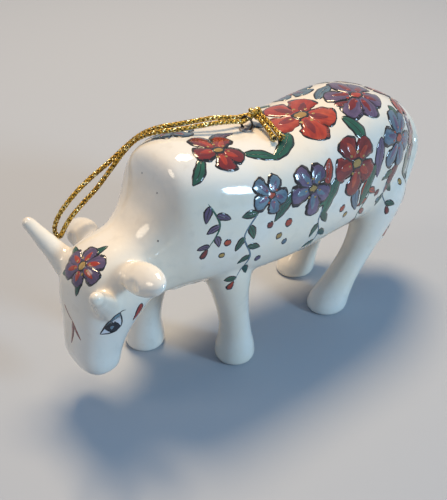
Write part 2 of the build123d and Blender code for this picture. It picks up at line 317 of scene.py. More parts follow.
def makeSkin(look):
    mesh = remeshedCastings(look)
    points, edges = meshArrays(mesh)
    quads = faceCorners(mesh)
    outer = outerSide(points, edges, look)
    points = softenSeams(points, edges, quads, outer, look)
    mesh.vertices.foreach_set("co", points.ravel())
    mesh.update()
    mesh.materials.append(glaze)
    piece = newPiece("glazedCow", mesh, "cow")
    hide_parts(*look["castings"])
    outerQuads = quads[outer[quads].all(axis=1)]
    print("skin made:", len(points), "points,", int(outer.sum()), "outside")
    return BVHTree.FromPolygons([Vector(point) for point in points], outerQuads.tolist())


skinTree = makeSkin(skinLook)


# Painting on the glaze: every brush mark is a thin skin of colour that follows the cow.
paintLook = {
    "lift": 0.022 * mm,
    "layerLift": 0.009 * mm,
    "sunk": 0.05 * mm,
    "step": 0.30 * mm,
    "across": 6,
    "roughSteps": 12,
    "leastSteps": 6,
    "waver": [(0.07, 9, 2.1), (0.05, 23, 1)],  # amount, rate along the mark, shift from mark to mark
    "outline": 0.13 * mm,
    "outlineTail": 1.6,
    "thinnest": 0.02 * mm,
    "rimFall": 0.75,
    "rimPower": 4,
    "reach": 90 * mm,
    "bristles": 9.0,
    "bristleDetail": 3.0,
    "bristleFrom": 0.35,
    "bristleTo": 0.65,
    "streakStretch": 0.18,
    "streakShift": (3.7, 1.3),
    "streakShare": 0.55,
    "clouds": (260.0, 0.45, 0.70),
    "cloudShare": 0.55,
    "blots": (700.0, 0.42, 0.66),
    "blotShare": 0.35,
    "streakDepth": 0.010 * mm,
    "streakStrength": 0.6,
    "roughness": 0.16,
    "coat": 0.7,
    "coatRoughness": 0.04,
}

paints = {
    "brickRed": {"main": (0.43, 0.036, 0.014), "deep": (0.20, 0.012, 0.009), "light": (0.55, 0.10, 0.035)},
    "wineRed": {"main": (0.20, 0.012, 0.014), "deep": (0.085, 0.007, 0.012), "light": (0.33, 0.030, 0.020)},
    "leafGreen": {"main": (0.012, 0.105, 0.062), "deep": (0.006, 0.045, 0.034), "light": (0.045, 0.19, 0.10)},
    "mauve": {"main": (0.12, 0.075, 0.145), "deep": (0.050, 0.035, 0.075), "light": (0.22, 0.15, 0.23)},
    "slateBlue": {"main": (0.105, 0.175, 0.225), "deep": (0.045, 0.085, 0.13), "light": (0.20, 0.29, 0.33)},
    "ochre": {"main": (0.42, 0.25, 0.06), "deep": (0.24, 0.12, 0.03), "light": (0.58, 0.40, 0.13)},
    "ink": {"main": (0.010, 0.009, 0.013), "deep": (0.006, 0.006, 0.008), "light": (0.022, 0.018, 0.026)},
    "eyeWhite": {"main": (0.66, 0.66, 0.68), "deep": (0.55, 0.54, 0.58), "light": (0.75, 0.75, 0.76)},
    "lidGrey": {"main": (0.16, 0.26, 0.29), "deep": (0.08, 0.14, 0.17), "light": (0.27, 0.38, 0.41)},
}


def brushStreaksGroup(look):
    group = bpy.data.node_groups.new("brushStreaks", "ShaderNodeTree")
    addSocket(group, "Bristles", "INPUT", look["bristles"])
    addSocket(group, "Streaks", "OUTPUT")
    given = addNode(group, "NodeGroupInput")
    result = addNode(group, "NodeGroupOutput")
    place = addNode(group, "ShaderNodeTexCoord")
    parts = addNode(group, "ShaderNodeSeparateXYZ")
    joined = addNode(group, "ShaderNodeCombineXYZ")
    noise = addNode(group, "ShaderNodeTexNoise", Scale=1.0, Detail=look["bristleDetail"])
    spread = addNode(group, "ShaderNodeMapRange", interpolation_type="SMOOTHSTEP")
    spread.inputs["From Min"].default_value = look["bristleFrom"]
    spread.inputs["From Max"].default_value = look["bristleTo"]
    group.links.new(place.outputs["UV"], parts.inputs[0])
    group.links.new(parts.outputs["X"], joined.inputs["X"])
    across = mathNode(group, "MULTIPLY", parts.outputs["Y"], given.outputs["Bristles"])
    group.links.new(across, joined.inputs["Y"])
    group.links.new(joined.outputs[0], noise.inputs["Vector"])
    group.links.new(noise.outputs[0], spread.inputs["Value"])
    group.links.new(spread.outputs["Result"], result.inputs["Streaks"])
    return group


brushStreaks = brushStreaksGroup(paintLook)


def paintMaterial(name, colours, look):
    material, tree, shader = startMaterial(name + "Paint", 0.0, look["roughness"])
    streaks = addNode(tree, "ShaderNodeGroup", node_tree=brushStreaks).outputs["Streaks"]
    streaked = mathNode(tree, "MULTIPLY", streaks, look["streakShare"])
    clouded = mathNode(tree, "MULTIPLY", noiseMask(tree, *look["clouds"]), look["cloudShare"])
    blotted = mathNode(tree, "MULTIPLY", noiseMask(tree, *look["blots"]), look["blotShare"])
    colour = mixColours(tree, streaked, colours["main"], colours["deep"])
    colour = mixColours(tree, clouded, colour, colours["light"])
    colour = mixColours(tree, blotted, colour, colours["deep"])
    tree.links.new(colour, shader.inputs["Base Color"])
    addCoat(shader, look)
    addBump(tree, shader, streaks, look["streakDepth"], look["streakStrength"])
    return material


paintWork = {name: {"points": [], "faces": [], "marks": [], "count": 0} for name in paints}


def onSkin(point):
    place, facing, _, _ = skinTree.find_nearest(point)
    return place, facing


def sideSpot(x, z, side):
    start = Vector((x * mm, side * paintLook["reach"], z * mm))
    return skinTree.ray_cast(start, Vector((0, -side, 0)))[0]


def topSpot(x, y):
    return skinTree.ray_cast(Vector((x * mm, y * mm, paintLook["reach"])), Vector((0, 0, -1)))[0]


def curveThrough(spots, count):
    # Catmull-Rom through a few spots
    result = []
    last = len(spots) - 1
    for index in range(count + 1):
        whole = min(index / count * last, last - 1e-6)
        low = int(whole)
        share = whole - low
        before, here = spots[max(low - 1, 0)], spots[low]
        there, after = spots[low + 1], spots[min(low + 2, last)]
        rise = (there - before) * share
        bend = (before * 2 - here * 5 + there * 4 - after) * share**2
        twist = (here * 3 - before - there * 3 + after) * share**3
        result.append(here + (rise + bend + twist) / 2)
    return result


# How wide a brush mark is along its length, as a share of its greatest width.
brushForms = {
    "petal": lambda t: min(1.0, (t * 1.15) ** 0.6) * math.sqrt(max(1 - max(t * 1.9 - 0.9, 0) ** 2, 0.0)),
    "leaf": lambda t: math.sin(math.pi * t**0.8) ** 0.85,
    "line": lambda t: min(1.0, 8 * t, 0.25 + 2.2 * (1 - t)),
    "dab": lambda t: math.sqrt(max(1 - (2 * t - 1) ** 2, 0.0)),
    "stroke": lambda t: min(1.0, (5 * t) ** 0.5) * min(1.0, (2.4 * (1 - t)) ** 0.7),
}


def addSkinGrid(paint, rows, layer, length, seed):
    # a closed film over rows of spots, thinner at its rims, with its underside sunk in the glaze
    work = paintWork[paint]
    lift = paintLook["lift"] + layer * paintLook["layerLift"]
    shiftAlong, shiftAcross = paintLook["streakShift"]
    last = len(rows[0]) - 1
    top, under, marks = [], [], []
    for rowIndex, row in enumerate(rows):
        along = seed * shiftAlong + rowIndex / (len(rows) - 1) * length / mm * paintLook["streakStretch"]
        for index, point in enumerate(row):
            place, facing = onSkin(point)
            rim = abs(2 * index / last - 1) ** paintLook["rimPower"]
            top.append(place + facing * lift * (1 - paintLook["rimFall"] * rim))
            under.append(place - facing * paintLook["sunk"])
            marks.append((along, seed * shiftAcross + index / last))
    start = work["count"]
    wide = last + 1
    size = len(top)
    for rowIndex in range(len(rows) - 1):
        for index in range(last):
            corner = start + rowIndex * wide + index
            work["faces"].append((corner, corner + 1, corner + wide + 1, corner + wide))
            corner += size
            work["faces"].append((corner + wide, corner + wide + 1, corner + 1, corner))
    border = [rowIndex * wide for rowIndex in range(len(rows))]
    border += [(len(rows) - 1) * wide + index for index in range(1, wide)]
    border += [rowIndex * wide + last for rowIndex in reversed(range(len(rows) - 1))]
    border += list(reversed(range(1, last)))
    for here, there in zip(border, border[1:] + border[:1]):
        work["faces"].append((start + here, start + there, start + size + there, start + size + here))
    work["points"] += top + under
    work["marks"] += marks + marks
    work["count"] += size * 2


def addStroke(paint, spots, width, form, layer, seed=0, outlined=False):
    # width is the mark's greatest half width in millimetres
    rough = curveThrough(spots, paintLook["roughSteps"])
    length = sum((there - here).length for here, there in zip(rough, rough[1:]))
    count = max(int(length / paintLook["step"]), paintLook["leastSteps"])
    line = [onSkin(point) for point in curveThrough(spots, count)]
    rows = []
    for index, (place, facing) in enumerate(line):
        way = line[min(index + 1, count)][0] - line[max(index - 1, 0)][0]
        across = facing.cross(way).normalized()
        share = index / count
        waver = 1.0
        for amount, rate, turn in paintLook["waver"]:
            waver += amount * math.sin(share * rate + seed * turn)
        half = max(width * mm * brushForms[form](share) * waver, paintLook["thinnest"])
        steps = paintLook["across"]
        rows.append([place + across * half * (2 * step / steps - 1) for step in range(steps + 1)])
    addSkinGrid(paint, rows, layer, length, seed)
    if outlined:
        first = (spots[0] - spots[1]).normalized() * paintLook["outline"]
        last = (spots[-1] - spots[-2]).normalized() * paintLook["outline"] * paintLook["outlineTail"]
        wider = [spots[0] + first, *spots[1:-1], spots[-1] + last]
        addStroke("ink", wider, width + paintLook["outline"] / mm, form, layer - 1, seed)


def tangentWays(place, heading):
    facing = onSkin(place)[1]
    along = (heading - facing * heading.dot(facing)).normalized()
    return along, facing.cross(along)


# Shares of a flower's radius, of a petal's width, and of its reach for the inner brush marks.
flowerLook = {
    "petalFrom": 0.10,
    "petalMiddle": 0.55,
    "petalBend": 0.05,
    "petalWidth": 0.86,
    "innerFrom": 0.22,
    "innerTo": 0.78,
    "innerWidth": 0.34,
    "ring": 0.26,
    "heart": 0.19,
    "dotCircle": 0.36,
    "dot": 0.045,
    "dotLeast": 0.05,
    "dotsMore": 2,
    "turnWaver": (0.12, 2.3),  # amount, and rate from petal to petal
    "reachWaver": (0.10, 1.7),
}


def petalWaver(waver, petal, seed):
    amount, rate = waver
    return amount * math.sin(petal * rate + seed)


def addFlower(place, radius, petals, paint, heart, inner, turn, layer, seed):
    # the petals lie lowest, then their inner marks, then the ring and its dots, then the heart
    look = flowerLook
    along, across = tangentWays(place, Vector((1, 0, 0)))
    for petal in range(petals):
        angle = turn + 2 * math.pi * petal / petals + petalWaver(look["turnWaver"], petal, seed)
        way = along * math.cos(angle) + across * math.sin(angle)
        side = across * math.cos(angle) - along * math.sin(angle)
        reach = radius * (1 + petalWaver(look["reachWaver"], petal, seed)) * mm
        middle = place + way * reach * look["petalMiddle"] + side * reach * look["petalBend"]
        spots = [place + way * reach * look["petalFrom"], middle, place + way * reach]
        wide = radius * math.sin(math.pi / petals) * look["petalWidth"]
        addStroke(paint, spots, wide, "petal", layer + petal % 2, seed + petal, outlined=True)
        spots = [place + way * reach * look["innerFrom"], place + way * reach * look["innerTo"]]
        addStroke(inner, spots, wide * look["innerWidth"], "leaf", layer + 2, seed + petal)
    addDab("ink", place, radius * look["ring"], layer + 3, seed)
    addDab(heart, place, radius * look["heart"], layer + 4, seed)
    dots = petals + look["dotsMore"]
    for dot in range(dots):
        angle = 2 * math.pi * dot / dots
        spot = place + (along * math.cos(angle) + across * math.sin(angle)) * radius * look["dotCircle"] * mm
        addDab(heart, spot, radius * look["dot"] + look["dotLeast"], layer + 3, seed + dot)


def addDab(paint, place, radius, layer, seed):
    along, _ = tangentWays(place, Vector((1, 0, 0)))
    addStroke(paint, [place - along * radius * mm, place + along * radius * mm], radius, "dab", layer, seed)


# Shares of a leaf's length, and the half width of its vein in millimetres.
leafLook = {
    "middle": 0.5,
    "tipBend": 0.2,
    "veinEnd": 0.7,
    "veinWidth": 0.09,
}


def addLeaf(paint, place, heading, length, width, bend, layer, seed):
    look = leafLook
    along, across = tangentWays(place, heading)
    spots = [
        place,
        place + along * length * look["middle"] * mm + across * bend * length * look["middle"] * mm,
        place + along * length * mm + across * bend * length * look["tipBend"] * mm,
    ]
    addStroke(paint, spots, width, "leaf", layer, seed, outlined=True)
    vein = [spots[0], spots[1], spots[1].lerp(spots[2], look["veinEnd"])]
    addStroke("ink", vein, look["veinWidth"], "line", layer + 1, seed)


# The garland over the back. Flowers: where, radius, petals, colour, inner brush marks, heart, and the side
# on a flank. Leaves: where, heading, length, colour. Places and sizes are in millimetres, along and across
# on the back, along and up on a flank.
garlandLook = {
    "leafWidth": 0.17,
    "leafBend": 0.15,
    "leafLayer": 2,
    "backLayer": 4,
    "flankLayer": 5,
    "layersApart": 3,
    "backTurn": 0.5,
    "flankTurn": 0.7,
    "backFlowers": [
        (-7.0, 2.0, 6.6, 5, "brickRed", "wineRed", "ochre"),
        (-19.5, 3.5, 6.2, 6, "mauve", "wineRed", "brickRed"),
        (-31.5, 2.0, 5.6, 5, "brickRed", "wineRed", "ochre"),
        (-13.5, -7.5, 5.0, 5, "slateBlue", "mauve", "brickRed"),
        (-26.0, -6.0, 4.6, 5, "wineRed", "brickRed", "ochre"),
        (13.5, 4.6, 4.8, 5, "wineRed", "brickRed", "ochre"),
        (16.0, -5.5, 4.4, 5, "slateBlue", "wineRed", "ochre"),
        (1.5, -8.0, 4.0, 6, "mauve", "wineRed", "ochre"),
    ],
    "flankFlowers": [
        (-12.5, 36.5, 5.6, 5, "wineRed", "brickRed", "ochre", 1),
        (-26.0, 37.0, 5.6, 6, "slateBlue", "mauve", "brickRed", 1),
        (-1.0, 35.5, 4.6, 5, "mauve", "slateBlue", "ochre", 1),
        (-35.0, 33.0, 4.2, 5, "wineRed", "brickRed", "ochre", 1),
        (8.0, 37.0, 3.6, 5, "slateBlue", "mauve", "brickRed", 1),
        (-6.0, 36.0, 5.2, 5, "brickRed", "wineRed", "ochre", -1),
        (-21.0, 36.5, 5.4, 6, "mauve", "wineRed", "ochre", -1),
        (-34.0, 34.0, 4.2, 5, "wineRed", "brickRed", "ochre", -1),
        (8.0, 35.5, 3.8, 5, "slateBlue", "mauve", "ochre", -1),
    ],
    "backLeaves": [
        (-1.5, 5.0, 1.0, 0.6, 7.5, "leafGreen"), (-13.0, 6.5, -0.2, 1.0, 7.5, "leafGreen"),
        (-13.0, 0.0, -1.0, -0.3, 7.0, "slateBlue"), (-25.5, 6.5, -0.6, 1.0, 7.0, "leafGreen"),
        (-25.5, 0.5, -1.0, 0.1, 7.0, "mauve"), (-6.0, -5.0, 0.2, -1.0, 6.5, "leafGreen"),
        (-20.0, -4.0, -0.2, -1.0, 7.0, "leafGreen"), (9.5, 6.5, -1.0, 0.5, 6.0, "leafGreen"),
        (10.5, -4.5, -1.0, -0.4, 5.5, "leafGreen"), (-33.5, -4.5, -0.7, -0.8, 5.0, "leafGreen"),
        (17.5, 5.5, 0.8, 0.8, 5.5, "leafGreen"), (-36.0, 0.5, -1.0, 0.1, 4.6, "mauve"),
        (-1.0, 0.5, 1.0, -0.3, 5.0, "slateBlue"), (-14.0, 3.5, -0.8, 0.7, 6.0, "wineRed"),
        (12.0, 1.0, -1.0, -0.1, 5.0, "mauve"), (-37.5, 4.5, -0.5, 1.0, 4.5, "leafGreen"),
    ],
    "flankLeaves": [
        (-7.5, 35.5, 0.5, -1.0, 8.0, "leafGreen"), (-18.0, 34.5, 0.3, -1.0, 8.5, "leafGreen"),
        (-20.0, 39.0, 0.1, -1.0, 8.0, "mauve"), (-31.0, 33.5, -0.2, -1.0, 9.5, "leafGreen"),
        (3.0, 36.0, 1.0, -0.9, 6.0, "leafGreen"), (-12.5, 32.5, -0.3, -1.0, 6.5, "slateBlue"),
        (-26.5, 32.5, 0.5, -1.0, 7.0, "wineRed"), (-36.5, 30.0, 0.3, -1.0, 6.0, "leafGreen"),
        (-6.0, 39.0, 0.2, -1.0, 6.0, "brickRed"), (-31.0, 39.0, -0.5, -1.0, 6.5, "mauve"),
    ],
}

# Drooping sprigs by points along and up: stem, leaf count, stem colour, leaf colour, leaf length and half
# width, bud. Leaves grow from every few steps of the stem's curve and get smaller to its tip.
sprigLook = {
    "stemWidth": 0.17,
    "leafFirst": 2,
    "leafEvery": 4,
    "leafLead": 3,
    "leafAlong": 0.75,
    "leafAside": 0.8,
    "leafBend": 0.12,
    "lengthTaper": 0.35,
    "widthTaper": 0.3,
    "budLength": 1.9 * mm,
    "budWidth": 0.62,
    "berryRim": 0.12,
    "flank": [
        ([(-5.0, 33.0), (-3.0, 29.0), (-3.8, 25.0), (-1.5, 20.5)],
         6, "slateBlue", "leafGreen", 3.4, 0.72, "brickRed"),
        ([(-15.5, 33.0), (-17.4, 28.5), (-15.6, 24.5), (-17.4, 20.5)],
         6, "leafGreen", "brickRed", 3.1, 0.68, "mauve"),
        ([(-25.0, 31.5), (-23.0, 27.5), (-24.5, 23.0)],
         4, "slateBlue", "leafGreen", 3.5, 0.75, "wineRed"),
        ([(-34.0, 29.5), (-31.8, 25.5), (-32.0, 21.0), (-28.6, 15.5)],
         6, "wineRed", "leafGreen", 3.9, 0.90, "brickRed"),
        ([(10.5, 35.5), (13.6, 31.5), (12.0, 26.5), (14.2, 21.5)],
         7, "slateBlue", "leafGreen", 3.0, 0.66, "brickRed"),
        ([(19.5, 38.5), (18.0, 34.5), (20.0, 30.5)],
         5, "leafGreen", "mauve", 2.7, 0.62, "wineRed"),
    ],
    "berries": [
        (4.5, 31.0, 0.72, "brickRed"), (6.4, 29.0, 0.58, "ochre"), (4.9, 27.2, 0.52, "slateBlue"),
        (-9.5, 28.5, 0.70, "brickRed"), (-11.0, 26.5, 0.55, "ochre"), (-20.4, 27.6, 0.66, "wineRed"),
        (-21.6, 25.4, 0.52, "slateBlue"), (-28.4, 27.0, 0.62, "ochre"), (16.6, 31.0, 0.58, "brickRed"),
        (17.4, 28.6, 0.48, "ochre"), (8.6, 32.0, 0.58, "wineRed"), (10.2, 25.5, 0.56, "mauve"),
    ],
}


def addSprig(stem, leaves, stemPaint, leafPaint, leafLength, leafWidth, bud, seed):
    look = sprigLook
    addStroke(stemPaint, stem, look["stemWidth"], "line", 1, seed)
    steps = leaves * look["leafEvery"]
    line = curveThrough(stem, steps)
    for leaf in range(leaves):
        start = look["leafFirst"] + leaf * look["leafEvery"]
        spot = line[start]
        way = (line[min(start + look["leafLead"], steps)] - spot).normalized()
        facing = onSkin(spot)[1]
        side = facing.cross(way) * (1 if leaf % 2 else -1)
        heading = way * look["leafAlong"] + side * look["leafAside"]
        size = leafLength * (1 - look["lengthTaper"] * leaf / leaves)
        width = leafWidth * (1 - look["widthTaper"] * leaf / leaves)
        bend = look["leafBend"] if leaf % 2 else -look["leafBend"]
        addLeaf(leafPaint, onSkin(spot)[0], heading, size, width, bend, 2, seed + leaf)
    tip = stem[-1] + (stem[-1] - stem[-2]).normalized() * look["budLength"]
    addStroke(bud, [stem[-1], tip], look["budWidth"], "petal", 4, seed, outlined=True)


def paintBody():
    # flowers overlap, so each of three neighbours lies in its own layers, and leaves lie under them all
    look = garlandLook
    for index, (x, y, radius, petals, paint, inner, heart) in enumerate(look["backFlowers"]):
        layer = look["backLayer"] + look["layersApart"] * (index % 3)
        turn = index * look["backTurn"]
        addFlower(topSpot(x, y), radius, petals, paint, heart, inner, turn, layer, index)
    for index, (x, z, radius, petals, paint, inner, heart, side) in enumerate(look["flankFlowers"]):
        layer = look["flankLayer"] + look["layersApart"] * (index % 3)
        turn = index * look["flankTurn"]
        addFlower(sideSpot(x, z, side), radius, petals, paint, heart, inner, turn, layer, index)
    for index, (x, y, wayX, wayY, length, paint) in enumerate(look["backLeaves"]):
        heading = Vector((wayX, wayY, 0))
        width = length * look["leafWidth"]
        layer = look["leafLayer"] + index % 2
        addLeaf(paint, topSpot(x, y), heading, length, width, look["leafBend"], layer, index)
    for side in (1, -1):
        for index, (x, z, wayX, wayZ, length, paint) in enumerate(look["flankLeaves"]):
            heading = Vector((wayX, 0, wayZ))
            width = length * look["leafWidth"]
            bend = -look["leafBend"] * side
            layer = look["leafLayer"] + index % 2
            addLeaf(paint, sideSpot(x, z, side), heading, length, width, bend, layer, index)
        for index, (stem, leaves, stemPaint, paint, length, width, bud) in enumerate(sprigLook["flank"]):
            spots = [sideSpot(x, z, side) for x, z in stem]
            addSprig(spots, leaves, stemPaint, paint, length, width, bud, index)
        for x, z, radius, paint in sprigLook["berries"]:
            addDab("ink", sideSpot(x, z, side), radius + sprigLook["berryRim"], 1, x)
            addDab(paint, sideSpot(x, z, side), radius, 2, x)


# Forehead flower, painted eyes, and small marks of the muzzle and cheek.
# Places are in the camera's own picture, across and down, and are cast on to the head.
faceLook = {
    "middle": (223.5, 250.0),
    "focal": 700.0,
    "flowerPlace": (82.0, 266.0),
    "flowerRadius": 4.0,
    "flowerPetals": 6,
    "flowerTurn": 0.3,
    "leafLength": 5.52,
    "leafWidth": 0.72,
    "leafBend": 0.12,
    "leafWays": [(0, 0.1, 1), (0, -1, 0.5), (0, 0.15, -1), (0, -0.8, -1)],
    "patchRows": 18,
    "lineWidths": {"lidLine": 0.16, "foldLine": 0.08, "lowLine": 0.12, "backLine": 0.14},
    "stemWidth": 0.14,
    "muzzleWidth": 0.34,
    "cheekWidth": 0.62,
    "lidLine": [
        (100.0, 334.2), (104.0, 328.2), (109.0, 321.8), (114.5, 316.2), (120.0, 312.6), (125.8, 309.8),
    ],
    "foldLine": [(104.5, 328.6), (109.5, 323.4), (114.5, 319.4), (119.8, 317.2)],
    "lowLine": [
        (100.0, 334.2), (105.0, 333.9), (110.0, 333.2), (115.0, 331.2), (119.0, 327.8), (121.3, 324.6),
    ],
    "backLine": [(120.3, 312.8), (121.3, 316.5), (122.0, 320.0), (121.8, 323.4), (120.6, 326.4)],
    "irisHigh": [(104.6, 329.0), (108.0, 324.2), (112.6, 320.9), (117.2, 321.4), (120.4, 325.4)],
    "irisLow": [(104.6, 329.0), (107.6, 331.6), (112.0, 332.6), (116.8, 330.8), (120.4, 325.4)],
    "muzzleStem": [(64.5, 304.0), (68.5, 314.0), (72.5, 321.0)],
    "muzzleLeaves": [
        [(72.5, 321.0), (73.0, 332.0), (71.5, 343.0)],
        [(72.5, 321.0), (76.0, 331.0), (81.0, 340.5)],
    ],
    "cheekLeaf": [(141.0, 303.5), (138.6, 311.5), (133.4, 319.5)],
    # a painted highlight in the iris, a slate-blue crescent
    "paintedHighlightHigh": [(109.8, 327.6), (111.6, 325.2), (114.2, 326.2)],
    "paintedHighlightLow": [(109.8, 327.6), (111.6, 329.9), (114.2, 326.2)],
}


def viewSpot(seen):
    camera = bpy.context.scene.camera.matrix_world
    across = (seen[0] - faceLook["middle"][0]) / faceLook["focal"]
    down = (seen[1] - faceLook["middle"][1]) / faceLook["focal"]
    way = camera.to_3x3() @ Vector((across, -down, -1))
    return skinTree.ray_cast(camera.translation, way.normalized())[0]


def headSpots(name, side):
    spots = [viewSpot(seen) for seen in faceLook[name]]
    return [onSkin(Vector((spot.x, spot.y * side, spot.z)))[0] for spot in spots]


def addPatch(paint, high, low, layer):
    # paint between an upper and a lower line
    steps = paintLook["across"]
    rows = []
    for above, below in zip(*(curveThrough(line, faceLook["patchRows"]) for line in (high, low))):
        rows.append([above.lerp(below, step / steps) for step in range(steps + 1)])
    addSkinGrid(paint, rows, layer, (high[-1] - high[0]).length, 0)


def paintFace():
    for side in (1, -1):
        lid = headSpots("lidLine", side)
        addPatch("eyeWhite", lid[:5], headSpots("lowLine", side), 0)
        addPatch("lidGrey", lid[1:5], headSpots("foldLine", side), 1)
        addPatch("ink", headSpots("irisHigh", side), headSpots("irisLow", side), 2)
        # the slate-blue patch in each iris is a painted highlight
        addPatch("slateBlue", headSpots("paintedHighlightHigh", side), headSpots("paintedHighlightLow", side), 4)
        for name, width in faceLook["lineWidths"].items():
            addStroke("ink", headSpots(name, side), width, "stroke", 5)
    stem = [viewSpot(seen) for seen in faceLook["muzzleStem"]]
    addStroke("wineRed", stem, faceLook["stemWidth"], "line", 1)
    for index, leaf in enumerate(faceLook["muzzleLeaves"]):
        addStroke("wineRed", [viewSpot(seen) for seen in leaf], faceLook["muzzleWidth"], "leaf", 2, index)
    addStroke("brickRed", headSpots("cheekLeaf", 1), faceLook["cheekWidth"], "leaf", 3, 2, outlined=True)
    place = viewSpot(faceLook["flowerPlace"])
    leaf = faceLook["leafLength"], faceLook["leafWidth"], faceLook["leafBend"]
    for index, heading in enumerate(faceLook["leafWays"]):
        addLeaf("leafGreen", place, Vector(heading), *leaf, 1, index)
    form = faceLook["flowerRadius"], faceLook["flowerPetals"]
    addFlower(place, *form, "mauve", "ochre", "brickRed", faceLook["flowerTurn"], 3, 5)


# Small dark dots on the glaze, placed like the face.
speckLook = {
    "places": [(157, 193), (158, 241), (142, 173)],
    "radius": 0.13,
}


def paintSpecks():
    for index, seen in enumerate(speckLook["places"]):
        addDab("ink", viewSpot(seen), speckLook["radius"], 0, index)


def finishPaint():
    for name, work in paintWork.items():
        mesh = bpy.data.meshes.new(name + "Paint")
        mesh.from_pydata([tuple(point) for point in work["points"]], [], work["faces"])
        layer = mesh.uv_layers.new(name="brush")
        corners = np.zeros(len(mesh.loops), int)
        mesh.loops.foreach_get("vertex_index", corners)
        layer.data.foreach_set("uv", np.array(work["marks"])[corners].ravel())
        mesh.materials.append(paintMaterial(name, paints[name], paintLook))
        mesh.update()
        piece = newPiece(name + "Paint", mesh, "cow")
    print("painted:", sum(len(work["faces"]) for work in paintWork.values()), "faces")


paintBody()
paintFace()
paintSpecks()
finishPaint()


# Braided cord. The routes are spots in millimetres along the middle of the cord.
cordLook = {
    "loop": [
        (4.60, 0.00, 44.60), (7.90, -0.65, 45.25), (12.20, -1.65, 45.30), (16.40, -2.55, 45.30),
        (19.40, -4.10, 45.20), (21.20, -6.90, 43.60), (22.40, -8.95, 41.00), (25.30, -9.35, 37.85),
        (28.30, -9.35, 35.05), (30.60, -9.35, 33.60), (33.50, -9.55, 31.20), (34.80, -9.80, 29.20),
        (35.15, -10.20, 27.95), (35.25, -10.95, 27.45), (35.40, -11.70, 27.75), (35.40, -12.00, 28.75),
        (34.55, -11.55, 31.25), (31.90, -10.95, 34.30), (28.70, -10.55, 36.75), (25.00, -10.50, 38.50),
        (21.60, -10.25, 40.75), (19.60, -8.40, 43.25), (17.90, -5.75, 45.00), (15.20, -4.20, 45.35),
        (11.80, -3.10, 45.55), (8.10, -2.35, 45.50), (4.60, -2.00, 44.60),
    ],
    "endA": [
        (1.05, -1.20, 44.65), (1.40, 0.80, 44.45), (1.75, 2.60, 44.05), (2.15, 4.30, 43.65),
        (2.60, 5.90, 43.15),
    ],
    "endB": [
        (0.10, -1.20, 44.65), (0.35, 0.90, 44.45), (0.65, 2.80, 44.05), (1.00, 4.60, 43.60),
        (1.20, 6.30, 43.05),
    ],
    "diameter": 0.84 * mm,
    "realLength": 83.8 * mm,
    "plait": 2.5 * mm,
    "strands": 3,
    "strandShare": 0.34,
    "weaveShare": 0.06,
    "step": 0.10 * mm,
    "sides": 6,
    "coreShare": 0.92,
    "coreSides": 8,
    "fray": 1.6 * mm,
    "fraySplay": 1.1,
    "knotCentre": (1.00, -1.21, 44.70),
    "knotHalf": (1.12, 0.82, 0.82),
    "knotPoints": 260,
    "knotCord": 0.92,
    "knotDepth": 0.8,
    "knotTurns": [(0.0, 1.0), (0.16 * mm, 0.86)],
    "splineOrder": 3,
    "splineSteps": 16,
}


def splinePoints(route, look):
    curve = bpy.data.curves.new("route", "CURVE")
    curve.dimensions = "3D"
    spline = curve.splines.new("NURBS")
    spline.points.add(len(route) - 1)
    for point, place in zip(spline.points, route):
        point.co = (*[size * mm for size in place], 1)
    spline.order_u = look["splineOrder"]
    spline.use_endpoint_u = True
    spline.resolution_u = look["splineSteps"]
    helper = bpy.data.objects.new("route", curve)
    bpy.context.scene.collection.objects.link(helper)
    graph = bpy.context.evaluated_depsgraph_get()
    mesh = bpy.data.meshes.new_from_object(helper.evaluated_get(graph))
    points = meshArrays(mesh)[0]
    bpy.data.objects.remove(helper)
    bpy.data.meshes.remove(mesh)
    return points


def evenPoints(points, step):
    lengths = np.concatenate([[0], np.cumsum(np.linalg.norm(np.diff(points, axis=0), axis=1))])
    places = np.linspace(0, lengths[-1], max(int(lengths[-1] / step), 4) + 1)
    return np.stack([np.interp(places, lengths, points[:, axis]) for axis in range(3)], 1), places


def carriedFrames(points):
    # two directions across the line at each point, carried along without twist
    ways = np.gradient(points, axis=0)
    ways /= np.linalg.norm(ways, axis=1, keepdims=True)
    side = np.cross(ways[0], (0, 0, 1.0))
    if np.linalg.norm(side) < 0.1:
        side = np.cross(ways[0], (0, 1.0, 0))
    sides = []
    for way in ways:
        side = side - way * (side @ way)
        side = side / np.linalg.norm(side)
        sides.append(side)
    sides = np.array(sides)
    return sides, np.cross(ways, sides)


def addTube(parts, points, radius, sides):
    first, second = carriedFrames(points)
    turns = np.arange(sides) * 2 * math.pi / sides
    rings = points[:, None, :] + radius * (
        first[:, None, :] * np.cos(turns)[None, :, None] + second[:, None, :] * np.sin(turns)[None, :, None]
    )
    start = parts["count"]
    parts["points"].append(rings.reshape(-1, 3))
    parts["count"] += len(points) * sides
    for ring in range(len(points) - 1):
        for corner in range(sides):
            following = (corner + 1) % sides
            low = start + ring * sides
            high = low + sides
            parts["faces"].append((low + corner, low + following, high + following, high + corner))
    parts["faces"].append(tuple(start + corner for corner in reversed(range(sides))))
    parts["faces"].append(tuple(parts["count"] - sides + corner for corner in range(sides)))


def emptyParts():
    return {"points": [], "faces": [], "count": 0, "cores": []}


def partsMesh(name, parts):
    mesh = bpy.data.meshes.new(name)
    mesh.from_pydata([tuple(point) for point in np.concatenate(parts["points"])], [], parts["faces"])
    mesh.materials.append(gold)
    mesh.materials.append(goldCoreShade)
    # the core's faces take the painted shade material
    for first, last in parts["cores"]:
        for face in mesh.polygons[first:last]:
            face.material_index = 1
    mesh.update()
    return mesh


